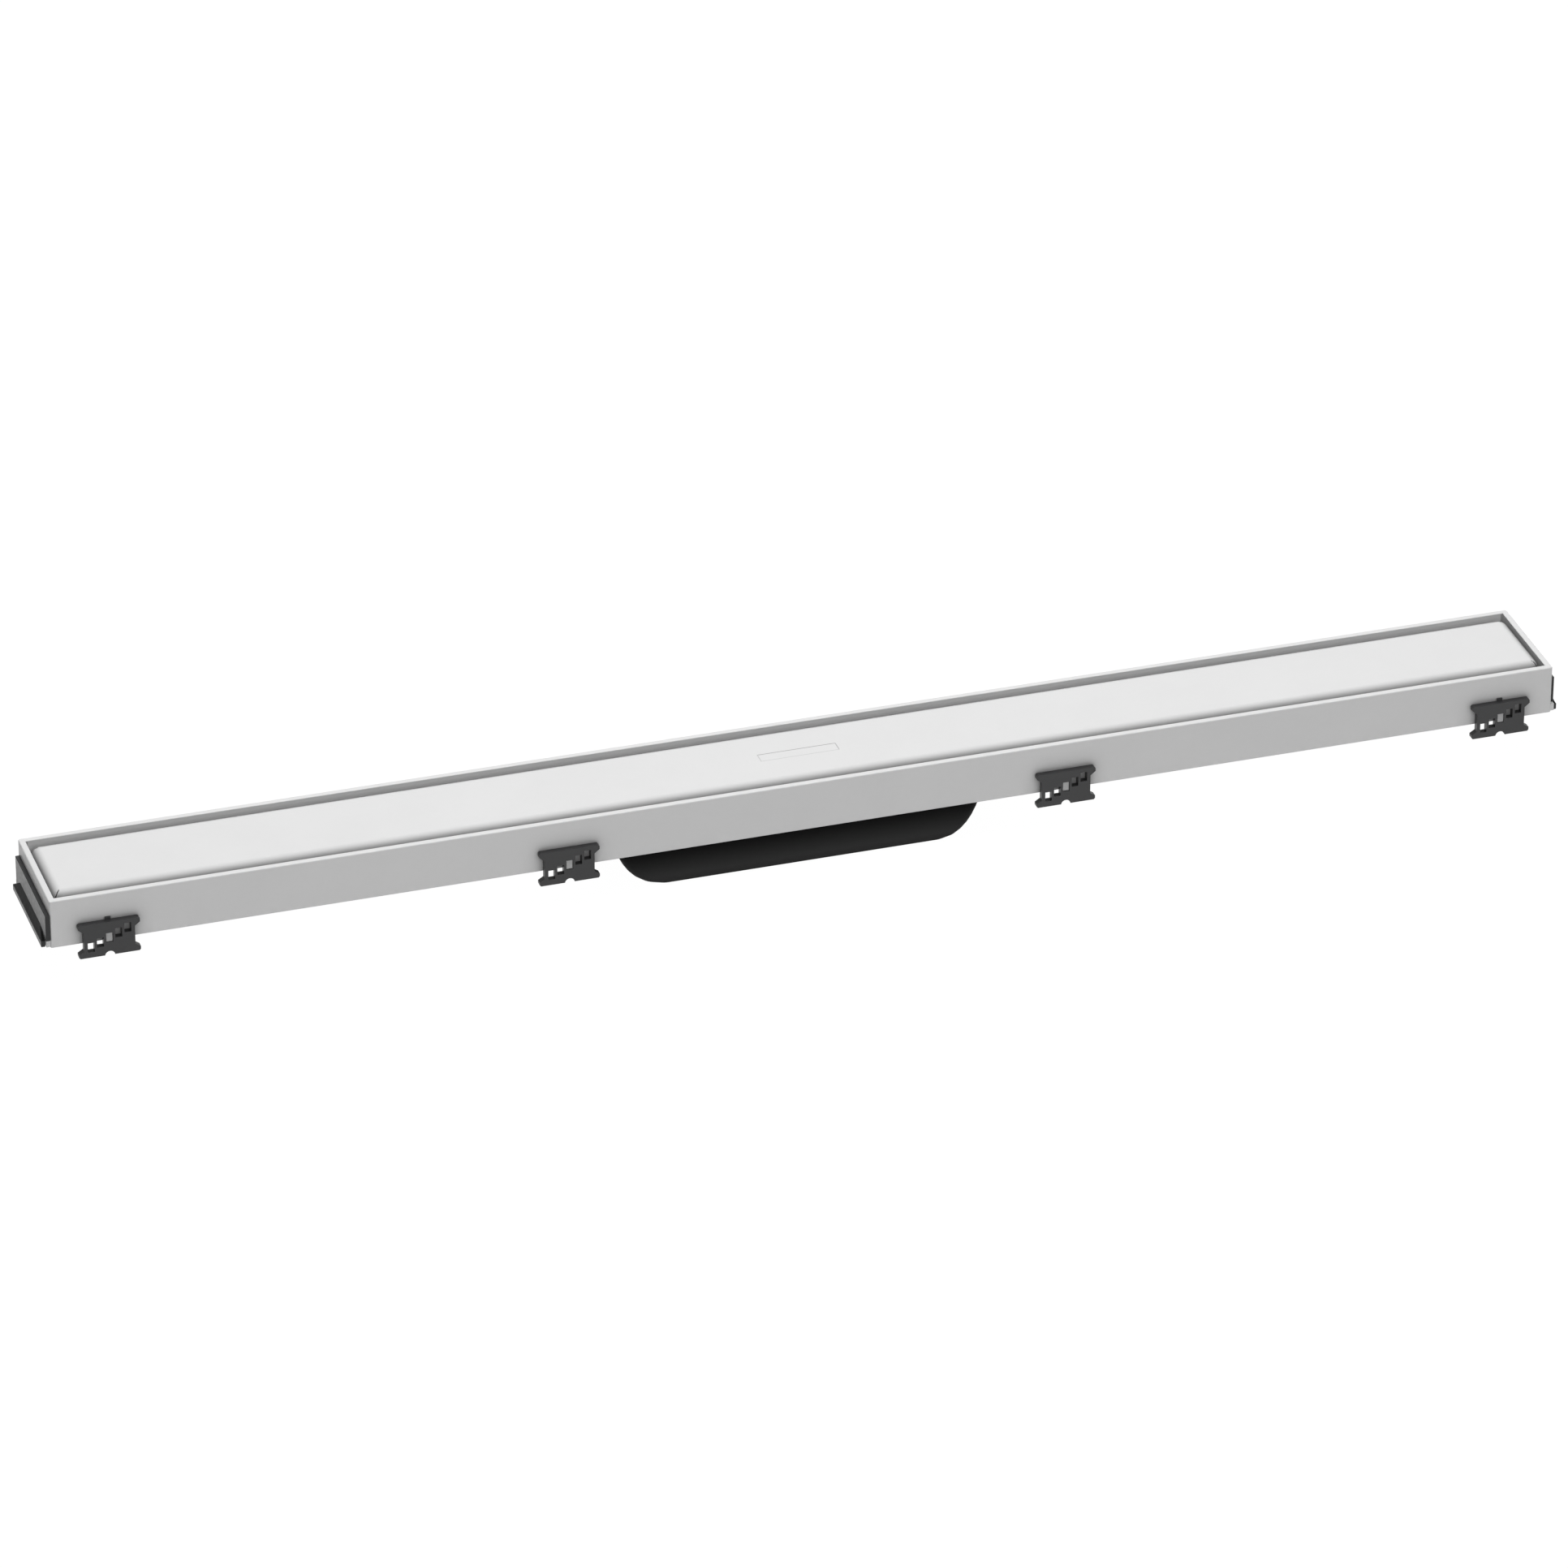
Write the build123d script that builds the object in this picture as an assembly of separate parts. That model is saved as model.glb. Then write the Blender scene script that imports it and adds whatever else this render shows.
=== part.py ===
from build123d import *
import math
import os

# Channel drain for a floor: a white frame folded from sheet, a white cover plate that lies in it,
# black clips along the sides and at the ends, a gutter tray, and a black outlet tub with its trap.
# Millimetres. X runs along the channel, Y across it, Z up. The origin is under the middle of the
# channel, level with the underside of the tub, which is what the drain stands on.

# Frame: outer wall, rim, inner leg and a bottom flange turned inward, all of one sheet
frame_length = 1200.0
frame_width = 98.6
frame_height = 39.6
frame_sheet = 1.5
rim_width = 4.75
rim_outer_bend = 0.9
rim_inner_bend = 0.5
frame_corner_radius = 1.6
inner_leg_depth = 14.0
bottom_flange_width = 8.0

# Ledge along the foot of each end wall, which carries the end clip
ledge_depth = 3.0
ledge_height = 5.8
ledge_rise = 0.3
ledge_end_setback = 1.45

# Cover plate: one folded sheet with rolled edges, a slit at each corner and a shallow bare field
cover_side_gap = 5.6
cover_end_gap = 0.7
cover_below_rim = 0.4
cover_sheet = 1.5
cover_roll_radius = 7.5
cover_corner_radius = 8.2
cover_inner_bevel = 3.5
cover_skirt_depth = 12.5
cover_slit_width = 0.7
cover_slit_top = 1.0
cover_field_length = 62.5
cover_field_width = 10.2
cover_field_depth = 0.12
cover_field_corner = 0.6

# Gutter tray: folded from thin sheet, lying on the bottom flange with its walls behind the inner leg
tray_sheet = 1.0
tray_wall_gap = 0.35
tray_wall_top_gap = 2.0
tray_corner_radius = 2.0

# Cover bridges: folded strips that stand in the tray and carry the cover on rubber pads
bridge_sheet = 2.0
bridge_strip_width = 20.0
bridge_end_distance = 80.0
bridge_tub_distance = 49.5
bridge_shoulder = 6.5
bridge_skirt_gap = 0.4
bridge_wall_gap = 0.5
pad_thickness = 3.0
pad_length = 44.0
pad_width = 16.0
pad_corner_radius = 3.0

# Side clips: moulded plates with eared ends and a flight of five windows
clip_end_distance = 43.9
clip_inner_share = 0.357
clip_thickness = 4.9
clip_half_width = 19.65
clip_ear_half_width = 23.7
clip_top_below_rim = 22.15
clip_height = 28.25
clip_ear_corner = 1.0
upper_ear_height = 2.45
upper_ear_run_out = 3.2
lower_ear_height = 3.4
lower_ear_run_in = 2.6
lower_ear_foot_rise = 1.1
notch_radius = 3.9
notch_height = 3.3
tab_width = 4.2
tab_height = 2.35
tab_thickness = 1.2
tabbed_clips = (0, 3)
window_width = 5.3
window_height = 7.9
window_pitch = 7.1
window_step = 3.15
window_count = 5
middle_window_depth = 13.3
lug_play = 0.25
lug_recess = 0.8

# End clips: a plate on the end wall with a hooked foot over the ledge
end_clip_top_below_rim = 11.5
end_clip_plate = 3.5
end_clip_setback = 4.7
end_clip_play = 0.1
end_clip_foot_depth = 6.3
end_clip_slant_top_below_rim = 27.5
end_clip_slant_foot_below_rim = 35.4
end_clip_slant_hip = 13.0
end_clip_foot_below_rim = 40.5
end_clip_round = 0.5

# Outlet tub: moulded box with scooped ends, a flange under the tray and a socket for the waste pipe
tub_centre_x = -7.7
tub_drop = 35.2
tub_length = 300.3
tub_wall = 2.5
tub_corner_radius = 13.6
scoop_run = 29.2
scoop_rise = 58.1
scoop_sections = 8
tub_flange_side = 3.9
tub_flange_end = 8.0
tub_flange_play = 0.5
tub_flange_thickness = 2.0
gasket_thickness = 1.0
socket_side_room = 9.3
socket_length = 20.0
socket_wall = 2.2
socket_stop_ledge = 2.3
socket_stop_thickness = 2.0

# Clamping ring over the tub's flange, its screws, and the tub opening inside it
opening_corner_radius = 10.0
ring_thickness = 1.5
ring_side = 12.8
ring_end = 38.15
ring_opening_play = 1.0
screw_edge_distance = 3.2
screw_side_pitch = 220.0
screws_per_side = 2
screw_radius = 1.7
screw_hole_radius = 2.0
screw_head_radius = 3.3
screw_head_height = 1.6
boss_width = 6.4
boss_depth = 3.0

# Hair strainer: perforated sheet lying on the clamping ring, with a turned-down edge
strainer_sheet = 1.0
strainer_lap = 5.0
strainer_edge_depth = 7.0
strainer_play = 0.6
strainer_slot_width = 4.0
strainer_slot_length = 19.0
strainer_end_margin = 18.0
strainer_slots = 13
strainer_row_offset = 12.5

# Trap bell: an upturned cup that stands over the socket on three short legs
bell_wall = 1.6
bell_socket_gap = 3.6
bell_leg_height = 5.0
bell_leg_angle = 26.0
bell_roof_clearance = 5.0
bell_roof_bevel = 3.0
bell_knob_radius = 5.0
bell_knob_height = 2.6

# Levels worked out from the sizes above
frame_bottom = tub_drop
rim_top = frame_bottom + frame_height
cover_top = rim_top - cover_below_rim
tray_underside = frame_bottom + frame_sheet
tray_floor = tray_underside + tray_sheet
gasket_underside = tray_underside - gasket_thickness
tub_flange_underside = gasket_underside - tub_flange_thickness
tub_floor = tub_wall
ring_top = tray_floor + ring_thickness
socket_top = socket_length + socket_stop_thickness
cover_underside = cover_top - cover_sheet
bridge_top = cover_underside - pad_thickness

# Plan sizes worked out from the sizes above
channel_length = frame_length - 2 * rim_width
channel_width = frame_width - 2 * rim_width
cover_length = channel_length - 2 * cover_end_gap
cover_width = channel_width - 2 * cover_side_gap
tray_length = frame_length - 2 * (frame_sheet + tray_wall_gap)
tray_width = frame_width - 2 * (frame_sheet + tray_wall_gap)
tray_wall_top = rim_top - inner_leg_depth - tray_wall_top_gap
flange_length = tub_length + 2 * tub_flange_end
flange_width = frame_width - 2 * (bottom_flange_width + tub_flange_play)
tub_width = flange_width - 2 * tub_flange_side
socket_radius = tub_width / 2 - tub_wall - socket_side_room
socket_stop_radius = socket_radius - socket_stop_ledge
bell_inner_radius = socket_radius + socket_wall + bell_socket_gap
opening_length = flange_length - 2 * ring_end
opening_width = flange_width - 2 * ring_side
strainer_slot_pitch = (opening_length - 2 * strainer_end_margin) / (strainer_slots - 1)
screw_line = flange_width / 2 - screw_edge_distance

# Places along the channel worked out from the sizes above
clip_outer = frame_length / 2 - clip_end_distance
clip_inner = clip_inner_share * clip_outer
clip_positions = (-clip_outer, -clip_inner, clip_inner, clip_outer)
bridge_outer = frame_length / 2 - bridge_end_distance
bridge_beside_tub = flange_length / 2 + bridge_tub_distance
bridge_positions = (
    -bridge_outer,
    tub_centre_x - bridge_beside_tub,
    tub_centre_x + bridge_beside_tub,
    bridge_outer,
)


def upright_block(length, width, bottom, top, corner_radius=0.0):
    """A block centred on the channel, with rounded upright corners."""
    block = Pos(0, 0, (bottom + top) / 2) * Box(length, width, top - bottom)
    if corner_radius > 0:
        block = fillet(block.edges().filter_by(Axis.Z), corner_radius)
    return block


def plan_ring(outer, inner, bottom, top, outer_radius=0.0, inner_radius=0.0):
    """A flat band between two plan outlines, each given as (length, width)."""
    band = upright_block(outer[0], outer[1], bottom, top, outer_radius)
    return band - upright_block(inner[0], inner[1], bottom - 1, top + 1, inner_radius)


def frame():
    outline = (frame_length, frame_width)
    wall_inside = (frame_length - 2 * frame_sheet, frame_width - 2 * frame_sheet)
    channel = (channel_length, channel_width)
    leg_outside = (channel_length + 2 * frame_sheet, channel_width + 2 * frame_sheet)
    flange_edge = (frame_length - 2 * bottom_flange_width, frame_width - 2 * bottom_flange_width)
    wall = plan_ring(outline, wall_inside, frame_bottom, rim_top, frame_corner_radius)
    rim = plan_ring(outline, channel, rim_top - frame_sheet, rim_top, frame_corner_radius)
    leg = plan_ring(leg_outside, channel, rim_top - inner_leg_depth, rim_top)
    flange = plan_ring(outline, flange_edge, frame_bottom, tray_underside, frame_corner_radius)
    body = wall + rim + leg + flange
    body = fillet([e for e in rim_edges(body) if not on_channel_edge(e)], rim_outer_bend)
    body = fillet([e for e in rim_edges(body) if on_channel_edge(e)], rim_inner_bend)
    for side in (-1, 1):
        body += end_ledge(side)
    for place in clip_places():
        body += place * clip_lug()
    return body


def rim_edges(body):
    """The edges that lie in the rim's top face."""
    return body.edges().filter_by_position(Axis.Z, rim_top - 0.01, rim_top + 0.01)


def on_channel_edge(edge):
    """Whether an edge of the rim borders the channel's mouth."""
    centre = edge.center()
    along_side = abs(abs(centre.Y) - channel_width / 2) < 0.01
    along_end = abs(abs(centre.X) - channel_length / 2) < 0.01
    return along_side or along_end


def end_ledge(side):
    """The step that stands out from the foot of an end wall."""
    height_mid = frame_bottom + ledge_rise + ledge_height / 2
    reach = ledge_depth + frame_sheet
    centre_x = frame_length / 2 + ledge_depth - reach / 2
    ledge = Box(reach, frame_width - 2 * ledge_end_setback, ledge_height)
    return Pos(side * centre_x, 0, height_mid) * ledge


def clip_places():
    """Where the side clips sit: four on the front wall, four turned round on the back wall."""
    front = [Location((x, -frame_width / 2, rim_top), (0, 0, 0)) for x in clip_positions]
    back = [Location((x, frame_width / 2, rim_top), (0, 0, 180)) for x in clip_positions]
    return front + back


def window_centre(index):
    """Centre of a window in the clip's own plane, measured from the rim's level."""
    step = index - (window_count - 1) / 2
    x = step * window_pitch
    z = step * window_step - middle_window_depth - clip_top_below_rim
    return x, z


def clip_lug():
    """The lug pressed out of the frame's wall, which fills the clip's middle window."""
    x, z = window_centre((window_count - 1) // 2)
    width = window_width - 2 * lug_play
    height = window_height - 2 * lug_play
    reach = clip_thickness - lug_recess + frame_sheet / 2
    return Pos(x, frame_sheet / 2 - reach / 2, z) * Box(width, reach, height)


def clip_outline():
    """Half of the clip's outline, from its top edge down to its foot."""
    top = -clip_top_below_rim
    bottom = top - clip_height
    upper_low = top - clip_ear_corner - upper_ear_height
    lower_low = bottom + lower_ear_foot_rise
    lower_high = lower_low + lower_ear_height - lower_ear_foot_rise
    return [
        (clip_ear_half_width - clip_ear_corner, top),
        (clip_ear_half_width, top - clip_ear_corner),
        (clip_ear_half_width, upper_low),
        (clip_half_width, upper_low - upper_ear_run_out),
        (clip_half_width, lower_high + lower_ear_run_in),
        (clip_ear_half_width, lower_high),
        (clip_ear_half_width, lower_low),
        (clip_ear_half_width - clip_ear_corner, bottom),
    ]


def side_clip(has_tab):
    half = clip_outline()
    mirrored = [(-x, z) for x, z in reversed(half)]
    face = make_face(Plane.XZ * Polyline(half + mirrored, close=True))
    plate = extrude(face, clip_thickness, dir=(0, -1, 0))
    notch_centre = notch_height - clip_height - clip_top_below_rim - notch_radius
    plate -= Pos(0, 0, notch_centre) * Rot(90, 0, 0) * Cylinder(notch_radius, 3 * clip_thickness)
    if has_tab:
        tab = Box(tab_width, tab_thickness, 2 * tab_height)
        plate += Pos(0, -tab_thickness / 2, -clip_top_below_rim) * tab
    for index in range(window_count):
        x, z = window_centre(index)
        plate -= Pos(x, 0, z) * Box(window_width, 3 * clip_thickness, window_height)
    return plate


def end_clip():
    """The clip of the right-hand end, in section over the channel's end wall."""
    wall = frame_length / 2
    rest = frame_bottom + ledge_rise + ledge_height + end_clip_play
    inside_foot = wall + ledge_depth + end_clip_play
    section = [
        (wall, rest),
        (wall, rim_top - end_clip_top_below_rim),
        (wall + end_clip_plate, rim_top - end_clip_top_below_rim),
        (wall + end_clip_plate, rim_top - end_clip_slant_foot_below_rim),
        (wall + end_clip_foot_depth, rim_top - end_clip_slant_foot_below_rim),
        (wall + end_clip_foot_depth, rim_top - end_clip_foot_below_rim),
        (inside_foot, rim_top - end_clip_foot_below_rim),
        (inside_foot, rest),
    ]
    face = make_face(Plane.XZ * Polyline(section, close=True))
    clip = extrude(face, frame_width / 2 - end_clip_setback, both=True)
    tail_height = rim_top - end_clip_top_below_rim - rest
    tail = Box(end_clip_plate, 2 * end_clip_setback, tail_height)
    tail_centre = (wall + end_clip_plate / 2, frame_width / 2 - end_clip_setback, rest + tail_height / 2)
    clip += Pos(*tail_centre) * tail
    top_edges = clip.edges().filter_by(Axis.Y).group_by(Axis.Z)[-1]
    foot_edges = clip.edges().filter_by(Axis.Y).group_by(Axis.X)[-1]
    clip = fillet(top_edges + foot_edges, end_clip_round)
    return clip + end_clip_slant()


def end_clip_slant():
    """The slanted shoulder over the end clip's foot, hipped back at both of its ends."""
    wall = frame_length / 2
    high = rim_top - end_clip_slant_top_below_rim
    low = rim_top - end_clip_slant_foot_below_rim
    half_length = frame_width / 2 - end_clip_setback
    half_ridge = half_length - end_clip_slant_hip
    face_x = wall + end_clip_plate
    lip_x = wall + end_clip_foot_depth - end_clip_round
    section = make_face(Plane.XZ * Polyline([(face_x, low), (lip_x, low), (face_x, high)], close=True))
    shoulder = extrude(section, half_length, both=True)
    outline = [(-half_length, low), (half_length, low), (half_ridge, high), (-half_ridge, high)]
    hips = extrude(make_face(Plane.YZ * Polyline(outline, close=True)), 2 * wall, both=True)
    return shoulder & hips


def cover_plate():
    bottom = cover_top - cover_skirt_depth
    outer = upright_block(cover_length, cover_width, bottom, cover_top, cover_corner_radius)
    outer = fillet(outer.faces().sort_by(Axis.Z)[-1].edges(), cover_roll_radius)
    inner = upright_block(
        cover_length - 2 * cover_sheet,
        cover_width - 2 * cover_sheet,
        bottom - 1,
        cover_underside,
        cover_corner_radius - cover_sheet,
    )
    inner = chamfer(inner.faces().sort_by(Axis.Z)[-1].edges(), cover_inner_bevel)
    plate = outer - inner
    for side_x in (-1, 1):
        for side_y in (-1, 1):
            plate -= cover_slit(side_x, side_y)
    field = Box(cover_field_length, cover_field_width, 2 * cover_field_depth)
    field = fillet(field.edges().filter_by(Axis.Z), cover_field_corner)
    return plate - Pos(0, 0, cover_top) * field


def cover_slit(side_x, side_y):
    """The open slit where the side and end folds of the cover meet at a corner."""
    slit_top = cover_top - cover_slit_top
    height = cover_skirt_depth
    depth = 2 * cover_corner_radius
    angle = math.degrees(math.atan2(side_y, side_x))
    corner = (
        side_x * (cover_length / 2 - cover_corner_radius),
        side_y * (cover_width / 2 - cover_corner_radius),
        slit_top - height / 2,
    )
    slit = Box(depth, cover_slit_width, height)
    return Pos(*corner) * Rot(0, 0, angle) * Pos(depth / 2, 0, 0) * slit


def gutter_tray():
    outer = upright_block(tray_length, tray_width, tray_underside, tray_wall_top, tray_corner_radius)
    inner = upright_block(
        tray_length - 2 * tray_sheet,
        tray_width - 2 * tray_sheet,
        tray_floor,
        tray_wall_top + 1,
        tray_corner_radius - tray_sheet,
    )
    tray = outer - inner
    tray -= tub_opening(tray_underside - 1, tray_floor + 1)
    return tray - screw_holes(tray_underside - 1, tray_floor + 1)


def tub_opening(bottom, top, margin=0.0):
    """The mouth of the tub as a block, widened all round by a margin."""
    length = opening_length + 2 * margin
    width = opening_width + 2 * margin
    block = upright_block(length, width, bottom, top, opening_corner_radius + margin)
    return Pos(tub_centre_x, 0, 0) * block


def screw_points():
    """Plan places of the clamping screws, in a row along each side."""
    points = []
    for index in range(screws_per_side):
        x = (index - (screws_per_side - 1) / 2) * screw_side_pitch
        points.append((tub_centre_x + x, screw_line))
        points.append((tub_centre_x + x, -screw_line))
    return points


def screw_holes(bottom, top):
    """Clearance holes for every clamping screw."""
    holes = Part()
    for x, y in screw_points():
        holes += Pos(x, y, (bottom + top) / 2) * Cylinder(screw_hole_radius, top - bottom)
    return holes


def clamping_ring():
    outer = upright_block(flange_length, flange_width, tray_floor, ring_top, tub_corner_radius)
    ring = Pos(tub_centre_x, 0, 0) * outer - tub_opening(tray_floor - 1, ring_top + 1, ring_opening_play)
    return ring - screw_holes(tray_floor - 1, ring_top + 1)


def clamping_screws():
    """The clamping screws, all alike, as a group of separate pieces."""
    tip = tub_flange_underside - boss_depth + 0.5
    screws = []
    for x, y in screw_points():
        shank = Pos(x, y, (tip + ring_top) / 2) * Cylinder(screw_radius, ring_top - tip)
        head = Pos(x, y, ring_top + screw_head_height / 2) * Cylinder(screw_head_radius, screw_head_height)
        screws.append(shank + head)
    return Compound(children=screws)


def tub_gasket():
    inner = (tub_length - 2 * tub_wall - 2 * scoop_inset(gasket_underside), tub_width - 2 * tub_wall)
    outer = (flange_length, flange_width)
    inner_radius = tub_corner_radius - tub_wall
    outer_radius = tub_corner_radius
    gasket = plan_ring(outer, inner, gasket_underside, tray_underside, outer_radius, inner_radius)
    gasket = Pos(tub_centre_x, 0, 0) * gasket
    return gasket - screw_holes(gasket_underside - 1, tray_underside + 1)


def scoop_inset(height, wall=0.0):
    """How far a scooped end stands in from the tub's full length, at a height above its floor."""
    rise = scoop_rise - wall
    run = scoop_run - wall
    sine = 1 - (height - wall) / rise
    return run * (1 - math.sqrt(max(0.0, 1 - sine * sine)))


def tub_form(wall, bottom, top):
    """The tub's body as a stack of rounded outlines, drawn in by a wall's thickness."""
    sections = []
    for index in range(scoop_sections):
        height = bottom + (top - bottom) * (index / (scoop_sections - 1)) ** 1.6
        length = tub_length - 2 * wall - 2 * scoop_inset(height, wall)
        width = tub_width - 2 * wall
        outline = RectangleRounded(length, width, tub_corner_radius - wall)
        sections.append(Pos(tub_centre_x, 0, height) * outline)
    return loft(sections, ruled=True)


def outlet_tub():
    body = tub_form(0.0, 0.0, gasket_underside)
    flange = upright_block(
        flange_length, flange_width, tub_flange_underside, gasket_underside, tub_corner_radius
    )
    body += Pos(tub_centre_x, 0, 0) * flange
    for x, y in screw_points():
        boss_bottom = tub_flange_underside - boss_depth
        boss_height = gasket_underside - boss_bottom
        boss = Box(boss_width, boss_width, boss_height)
        body += Pos(x, y, boss_bottom + boss_height / 2) * boss
    body -= tub_form(tub_wall, tub_floor, gasket_underside + 0.01)
    for x, y in screw_points():
        hole_bottom = tub_flange_underside - boss_depth
        hole_height = gasket_underside + 1 - hole_bottom
        body -= Pos(x, y, hole_bottom + hole_height / 2) * Cylinder(screw_radius, hole_height)
    collar = Pos(tub_centre_x, 0, socket_top / 2) * Cylinder(socket_radius + socket_wall, socket_top)
    body += collar
    body -= Pos(tub_centre_x, 0, socket_length / 2) * Cylinder(socket_radius, socket_length)
    body -= Pos(tub_centre_x, 0, socket_top) * Cylinder(socket_stop_radius, 3 * socket_stop_thickness)
    return body


def trap_bell():
    roof_underside = socket_top + bell_roof_clearance
    roof_top = roof_underside + bell_wall
    outer_radius = bell_inner_radius + bell_wall
    bell = Pos(0, 0, (tub_floor + roof_top) / 2) * Cylinder(outer_radius, roof_top - tub_floor)
    bell = chamfer(bell.edges().group_by(Axis.Z)[-1], bell_roof_bevel)
    hollow_height = roof_underside - tub_floor + 1
    hollow = Cylinder(bell_inner_radius, hollow_height)
    hollow = chamfer(hollow.edges().group_by(Axis.Z)[-1], bell_roof_bevel - bell_wall / 2)
    bell -= Pos(0, 0, roof_underside - hollow_height / 2) * hollow
    bell += Pos(0, 0, roof_top + bell_knob_height / 2) * Cylinder(bell_knob_radius, bell_knob_height)
    for index in range(3):
        bell -= Rot(0, 0, index * 120 + bell_leg_angle / 2) * bell_inlet(2 * outer_radius)
    return Pos(tub_centre_x, 0, 0) * bell


def bell_inlet(reach):
    """The gap between two legs of the bell, where water comes in under its rim."""
    free = (Align.NONE, Align.NONE, Align.MAX)
    gap = Cylinder(reach, 2 * bell_leg_height, arc_size=120 - bell_leg_angle, align=free)
    return Pos(0, 0, tub_floor + bell_leg_height) * gap


def hair_strainer():
    length = opening_length - 2 * strainer_play
    width = opening_width - 2 * strainer_play
    radius = opening_corner_radius - strainer_play
    top = ring_top + strainer_sheet
    lap = upright_block(
        length + 2 * strainer_lap, width + 2 * strainer_lap, ring_top, top, radius + strainer_lap
    )
    edge_bottom = top - strainer_edge_depth
    skirt = upright_block(length, width, edge_bottom, ring_top, radius)
    hollow = upright_block(
        length - 2 * strainer_sheet,
        width - 2 * strainer_sheet,
        edge_bottom - 1,
        ring_top,
        radius - strainer_sheet,
    )
    strainer = lap + (skirt - hollow)
    slot_depth = 4 * strainer_sheet
    slot = Box(strainer_slot_width, strainer_slot_length, slot_depth)
    for index in range(strainer_slots):
        x = (index - (strainer_slots - 1) / 2) * strainer_slot_pitch
        for side in (-1, 1):
            strainer -= Pos(x, side * strainer_row_offset, top) * slot
    return Pos(tub_centre_x, 0, 0) * strainer


def bridge_section():
    """Section of a bridge across the channel: feet, legs, slanted shoulders and a flat top."""
    leg = cover_width / 2 - cover_sheet - bridge_skirt_gap
    foot = tray_width / 2 - tray_sheet - bridge_wall_gap
    bend = bridge_sheet * math.tan(math.radians(22.5))
    outer = [
        (leg - bridge_shoulder, bridge_top),
        (leg, bridge_top - bridge_shoulder),
        (leg, tray_floor + bridge_sheet),
        (foot, tray_floor + bridge_sheet),
        (foot, tray_floor),
    ]
    inner = [
        (leg - bridge_sheet, tray_floor),
        (leg - bridge_sheet, bridge_top - bridge_shoulder - bend),
        (leg - bridge_shoulder - bend, bridge_top - bridge_sheet),
    ]
    half = outer + inner
    return half + [(-y, z) for y, z in reversed(half)]


def cover_bridge(x):
    face = make_face(Plane.YZ * Polyline(bridge_section(), close=True))
    strip = extrude(face, bridge_strip_width / 2, both=True)
    return Pos(x, 0, 0) * strip


def bridge_pad(x):
    pad = upright_block(pad_width, pad_length, bridge_top, cover_underside, pad_corner_radius)
    return Pos(x, 0, 0) * pad


def parts():
    """Every piece of the drain by its name."""
    pieces = {
        "frame": frame(),
        "cover_plate": cover_plate(),
        "gutter_tray": gutter_tray(),
        "outlet_tub": outlet_tub(),
        "tub_gasket": tub_gasket(),
        "clamping_ring": clamping_ring(),
        "clamping_screws": clamping_screws(),
        "hair_strainer": hair_strainer(),
        "trap_bell": trap_bell(),
        "end_clip_right": end_clip(),
        "end_clip_left": Rot(0, 0, 180) * end_clip(),
    }
    names = [f"side_clip_front_{n}" for n in range(1, 5)] + [f"side_clip_back_{n}" for n in range(1, 5)]
    for index, (name, place) in enumerate(zip(names, clip_places())):
        has_tab = index % len(clip_positions) in tabbed_clips
        pieces[name] = place * side_clip(has_tab)
    for index, x in enumerate(bridge_positions, start=1):
        pieces[f"cover_bridge_{index}"] = cover_bridge(x)
        pieces[f"bridge_pad_{index}"] = bridge_pad(x)
    return pieces


os.makedirs("parts", exist_ok=True)
for name, piece in parts().items():
    export_step(piece, f"parts/{name}.step")
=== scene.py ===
import math

import bpy
import bmesh
from mathutils import Matrix, Vector


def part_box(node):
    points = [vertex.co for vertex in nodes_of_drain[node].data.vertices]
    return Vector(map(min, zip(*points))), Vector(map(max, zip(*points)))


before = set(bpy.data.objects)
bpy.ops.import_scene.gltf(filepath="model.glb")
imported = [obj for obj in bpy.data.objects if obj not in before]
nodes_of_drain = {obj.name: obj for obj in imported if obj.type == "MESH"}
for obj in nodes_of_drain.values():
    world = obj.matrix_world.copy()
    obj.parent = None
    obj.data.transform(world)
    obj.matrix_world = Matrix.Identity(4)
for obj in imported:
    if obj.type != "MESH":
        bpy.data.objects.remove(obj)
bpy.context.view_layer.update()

# Camera
# It stands a little to the left of the drain's middle, high in front of it, with a long lens,
# so that the channel's sides stay almost parallel.
rim_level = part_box("frame")[1].z
camera_azimuth = math.radians(17.744)
camera_elevation = math.radians(29.585)
camera_roll = math.radians(0.104)
camera_eye = Vector((-1.8713, -5.8125, 3.4383 + rim_level))
camera_sensor = 36.0
camera_focal_pixels = 11299.2
photo_pixels = 1932

camera_data = bpy.data.cameras.new("camera")
camera_data.sensor_width = camera_sensor
camera_data.lens = camera_sensor * camera_focal_pixels / photo_pixels
camera_data.clip_start = 0.1
camera_data.clip_end = 100.0
camera = bpy.data.objects.new("camera", camera_data)
camera_turn = (
    Matrix.Rotation(-camera_azimuth, 4, "Z")
    @ Matrix.Rotation(math.pi / 2 - camera_elevation, 4, "X")
    @ Matrix.Rotation(camera_roll, 4, "Z")
)
camera.matrix_world = Matrix.Translation(camera_eye) @ camera_turn
bpy.context.scene.collection.objects.link(camera)
bpy.context.scene.camera = camera


# Room
# A pale studio: a white surround that the drain is lit and mirrored by, a pale floor under it,
# a wide soft lamp overhead and a weaker one in front.
white = (1.0, 1.0, 1.0, 1.0)
surround_light = 0.12
surround_seen = 1.0


def feed(tree, socket, value):
    """Gives a socket a value, or links it to another socket."""
    if hasattr(value, "links"):
        tree.links.new(value, socket)
    else:
        socket.default_value = value


def arithmetic(tree, operation, first, second=0.0):
    """One step of arithmetic on one or two values, each a socket or a number."""
    step = tree.nodes.new("ShaderNodeMath")
    step.operation = operation
    feed(tree, step.inputs[0], first)
    feed(tree, step.inputs[1], second)
    return step.outputs[0]


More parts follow.
